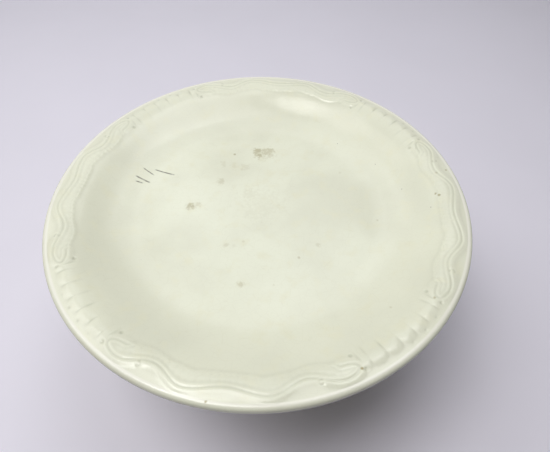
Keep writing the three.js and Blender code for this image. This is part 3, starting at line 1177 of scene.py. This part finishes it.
def seen_share(tree):
    """1 for what the camera sees straight, in the glaze or through a piece, and 0 for bounced light."""
    rays = add_node(tree, "LightPath").node.outputs
    return strongest(tree, [rays[f"Is {kind} Ray"] for kind in ("Camera", "Glossy", "Transmission")])


def card_material(name, colour):
    """Smooth card, matt and faintly mottled, which shows the shadow. It throws less light back up than it
    shows, so that the shadow under the dish stays deep."""
    material, tree = new_material(name)
    place = add_node(tree, "TexCoord", output="Object")
    lumps = {"Vector": place, "Scale": grain(CARD_CLOUD_WIDTH), "Detail": 2.0}
    clouds = eased(tree, add_node(tree, "TexNoise", lumps), *CARD_CLOUDS)
    tone = laid_over(tree, clouds, colour, dimmed(colour, CARD_MOTTLE))
    tone = laid_over(tree, seen_share(tree), dimmed(colour, CARD_BOUNCE), tone)
    matt = {"Base Color": tone, "Roughness": CARD_ROUGHNESS, "Specular IOR Level": CARD_SHINE}
    add_node(tree, "OutputMaterial", {"Surface": add_node(tree, "BsdfPrincipled", matt)})
    return material


class BOWL_OT_stage(bpy.types.Operator):
    """Make the floor, the lamps and the camera"""

    bl_idname = "bowl.stage"
    bl_label = "Stage"

    def execute(self, context):
        settings = context.scene.bowl_stage
        self.floor(settings)
        self.sky(context.scene, settings)
        whole = sum(parts for *_, parts, _ in LAMPS)
        for name, turn, height, width, parts, colour in LAMPS:
            self.lamp(name, turn, height, width, settings.light * parts / whole, colour)
        self.camera(context.scene, settings)
        context.scene.view_settings.view_transform = "Standard"
        return {"FINISHED"}

    def floor(self, settings):
        angles = ring_angles(FLOOR_COLUMNS)
        rings = [ring(radius, 0, angles) for radius in FLOOR_RINGS]
        points, faces = skin(rings, closed=False)
        flat = mesh_object("floor", points, faces[:-1])
        flat.data.materials.append(card_material("matt_card", tuple(settings.floor)))

    def sky(self, scene, settings):
        """Even light from all round; the camera and the glaze see a pale studio wall."""
        world = bpy.data.worlds.new("studio")
        world.use_nodes = True
        tree = world.node_tree
        tree.nodes.clear()
        light = add_node(tree, "Background", {"Color": (1, 1, 1), "Strength": settings.sky})
        wall = add_node(tree, "Background", {"Color": settings.floor, "Strength": 1.0})
        both = add_node(tree, "MixShader", (seen_share(tree), light, wall))
        add_node(tree, "OutputWorld", {"Surface": both})
        scene.world = world

    def lamp(self, name, turn, height, width, power, colour):
        """A square soft lamp that faces the bowl, at these degrees round it and above it."""
        turn, height = math.radians(turn), math.radians(height)
        level = math.cos(height) * LAMP_DISTANCE
        rise = math.sin(height) * LAMP_DISTANCE
        place = (level * math.cos(turn), level * math.sin(turn), RIM_LEVEL * MM + rise)
        data = bpy.data.lights.new(name, "AREA")
        data.size = width
        data.energy = power
        data.color = colour
        made = bpy.data.objects.new(name, data)
        aim = Vector((0, 0, RIM_LEVEL * MM)) - Vector(place)
        made.matrix_world = Matrix.Translation(place) @ aim.to_track_quat("-Z", "Y").to_matrix().to_4x4()
        bpy.context.collection.objects.link(made)

    def camera(self, scene, settings):
        data = bpy.data.cameras.new("camera")
        data.sensor_width = SENSOR_WIDTH
        data.lens = settings.lens
        data.shift_x = CAMERA_SHIFT
        made = bpy.data.objects.new("camera", data)
        place = Vector((0, -CAMERA_BACK * RIM_RADIUS, LIP_MIDDLE + CAMERA_UP * RIM_RADIUS)) * MM
        turn = Matrix.Rotation(math.radians(CAMERA_TURN), 4, "Z")
        tilt = Matrix.Rotation(math.radians(CAMERA_TILT), 4, "X")
        roll = Matrix.Rotation(math.radians(CAMERA_ROLL), 4, "Z")
        made.matrix_world = Matrix.Translation(place) @ turn @ tilt @ roll
        bpy.context.collection.objects.link(made)
        scene.camera = made


class BOWL_PT_pieces(bpy.types.Panel):
    """The bowl's settings and pieces"""

    bl_idname = "BOWL_PT_pieces"
    bl_label = "Fruit Bowl"
    bl_space_type = "VIEW_3D"
    bl_region_type = "UI"
    bl_category = "Fruit Bowl"

    def draw(self, context):
        for group_name in SETTINGS:
            group = getattr(context.scene, group_name)
            box = self.layout.box()
            for name in group.__annotations__:
                box.prop(group, name)
        for operator in OPERATORS:
            self.layout.operator(operator.bl_idname)


SETTINGS = {
    "bowl_border": BorderSettings,
    "bowl_glaze": GlazeSettings,
    "bowl_stage": StageSettings,
}
OPERATORS = (BOWL_OT_stage, BOWL_OT_dish, BOWL_OT_pedestal, BOWL_OT_lutes)
CLASSES = (*SETTINGS.values(), *OPERATORS, BOWL_PT_pieces)


def register():
    for cls in CLASSES:
        bpy.utils.register_class(cls)
    for name, settings in SETTINGS.items():
        setattr(bpy.types.Scene, name, bpy.props.PointerProperty(type=settings))


def unregister():
    for name in SETTINGS:
        delattr(bpy.types.Scene, name)
    for cls in reversed(CLASSES):
        bpy.utils.unregister_class(cls)


def main():
    register()
    bpy.ops.bowl.stage()
    bpy.ops.bowl.dish()
    bpy.ops.bowl.pedestal()
    bpy.ops.bowl.lutes()


if __name__ == "__main__":
    main()
